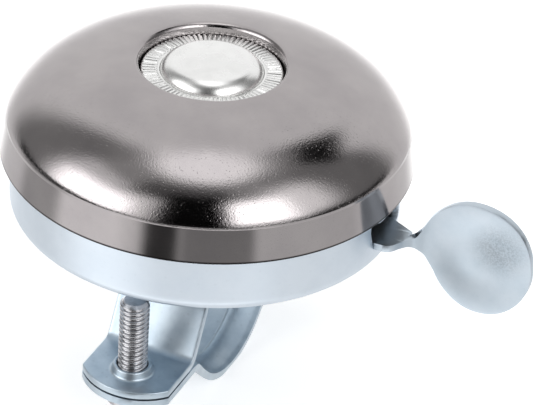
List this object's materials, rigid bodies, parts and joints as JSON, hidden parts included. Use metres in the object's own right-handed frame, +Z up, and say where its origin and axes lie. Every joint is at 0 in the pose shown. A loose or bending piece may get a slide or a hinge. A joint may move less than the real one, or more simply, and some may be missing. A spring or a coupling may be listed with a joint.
{
  "type": "bicycle bell",
  "caption": "Lever bell with a domed gong, thumb lever geared to a rotary striker, and a two-screw handlebar clamp.",
  "frame": {"origin": "on the handlebar's axis in the clamp, straight below the bell's centre post", "axes": "+X along the handlebar towards the thumb lever, +Z up through the gong, -Y towards the rider"},
  "size_m": [0.0735, 0.055, 0.0469],
  "materials": {
    "gong_nickel": "dark nickel plated pressed steel, satin with a fine orange peel, brighter band at the rim",
    "bright_nickel": "bright nickel plated",
    "blue_zinc": "blue passivated zinc plate",
    "lever_zinc": "blue passivated zinc plate, satin",
    "clamp_zinc": "blue passivated zinc plate on pressed strip",
    "screw_steel": "zinc plated rolled thread",
    "rivet_steel": "zinc plated",
    "inner_steel": "zinc plated pressed sheet",
    "spring_steel": "oiled spring wire and strip",
    "gear_brass": "plain turned",
    "washer_steel": "tumbled, zinc plated"
  },
  "bodies": {
    "base": {"gong": "gong_nickel", "centre_nut": "bright_nickel", "nut_cap": "bright_nickel", "base_pan": "blue_zinc", "upper_bracket": "clamp_zinc", "bracket_rivets": "rivet_steel", "centre_post": "rivet_steel", "spacer_sleeve": "rivet_steel", "gong_striker_bracket": "inner_steel", "lever_pivot_pin": "rivet_steel", "lever_clip": "spring_steel", "return_spring": "spring_steel", "idler_pin": "rivet_steel", "idler_clip": "spring_steel"},
    "lever": {"thumb_lever": "lever_zinc"},
    "idler": {"idler_pinion": "gear_brass", "idler_gear": "inner_steel"},
    "rotor": {"rotor_pinion": "gear_brass", "rotor_arm": "inner_steel", "striker_rivets": "rivet_steel"},
    "washer_a": {"striker_washer_a": "washer_steel"},
    "washer_b": {"striker_washer_b": "washer_steel"},
    "strap": {"lower_strap": "clamp_zinc"},
    "front_screw": {"front_clamp_screw": "screw_steel"},
    "rear_screw": {"rear_clamp_screw": "screw_steel"}
  },
  "joints": [
    {"name": "lever_pivot", "type": "hinge", "parent": "base", "child": "lever", "pos_m": [0.0182, -0.0003, 0], "axis": [0, 0, 1], "range_deg": [0, 20], "stiffness_Nm_per_rad": 0.15, "springref_deg": -20.05, "deforming": ["return_spring"]},
    {"name": "idler_spin", "type": "hinge", "parent": "base", "child": "idler", "pos_m": [0.00884, 0.0072, 0], "axis": [0, 0, 1], "range_deg": [-60, 0]},
    {"name": "rotor_spin", "type": "hinge", "parent": "base", "child": "rotor", "pos_m": [0, 0, 0], "axis": [0, 0, 1], "range_deg": [0, 130]},
    {"name": "washer_a_throw", "type": "slide", "parent": "rotor", "child": "washer_a", "axis": [-0.1736, 0.9848, 0], "range_m": [-0.0009, 0.0009]},
    {"name": "washer_b_throw", "type": "slide", "parent": "rotor", "child": "washer_b", "axis": [0.1736, -0.9848, 0], "range_m": [-0.0009, 0.0009]},
    {"name": "strap_drop", "type": "slide", "parent": "base", "child": "strap", "axis": [0, 0, -1], "range_m": [0, 0.009]},
    {"name": "front_screw_turn", "type": "hinge", "parent": "strap", "child": "front_screw", "pos_m": [0, -0.0206, 0], "axis": [0, 0, -1], "range_deg": [0, 4628.58]},
    {"name": "rear_screw_turn", "type": "hinge", "parent": "strap", "child": "rear_screw", "pos_m": [0, 0.0206, 0], "axis": [0, 0, -1], "range_deg": [0, 4628.58]}
  ],
  "couplings": [
    {"joint": "idler_spin", "follows": "lever_pivot", "ratio": -3},
    {"joint": "rotor_spin", "follows": "lever_pivot", "ratio": 6.5},
    {"joint": "front_screw_turn", "follows": "strap_drop", "rad_per_m": 8976},
    {"joint": "rear_screw_turn", "follows": "strap_drop", "rad_per_m": 8976}
  ]
}
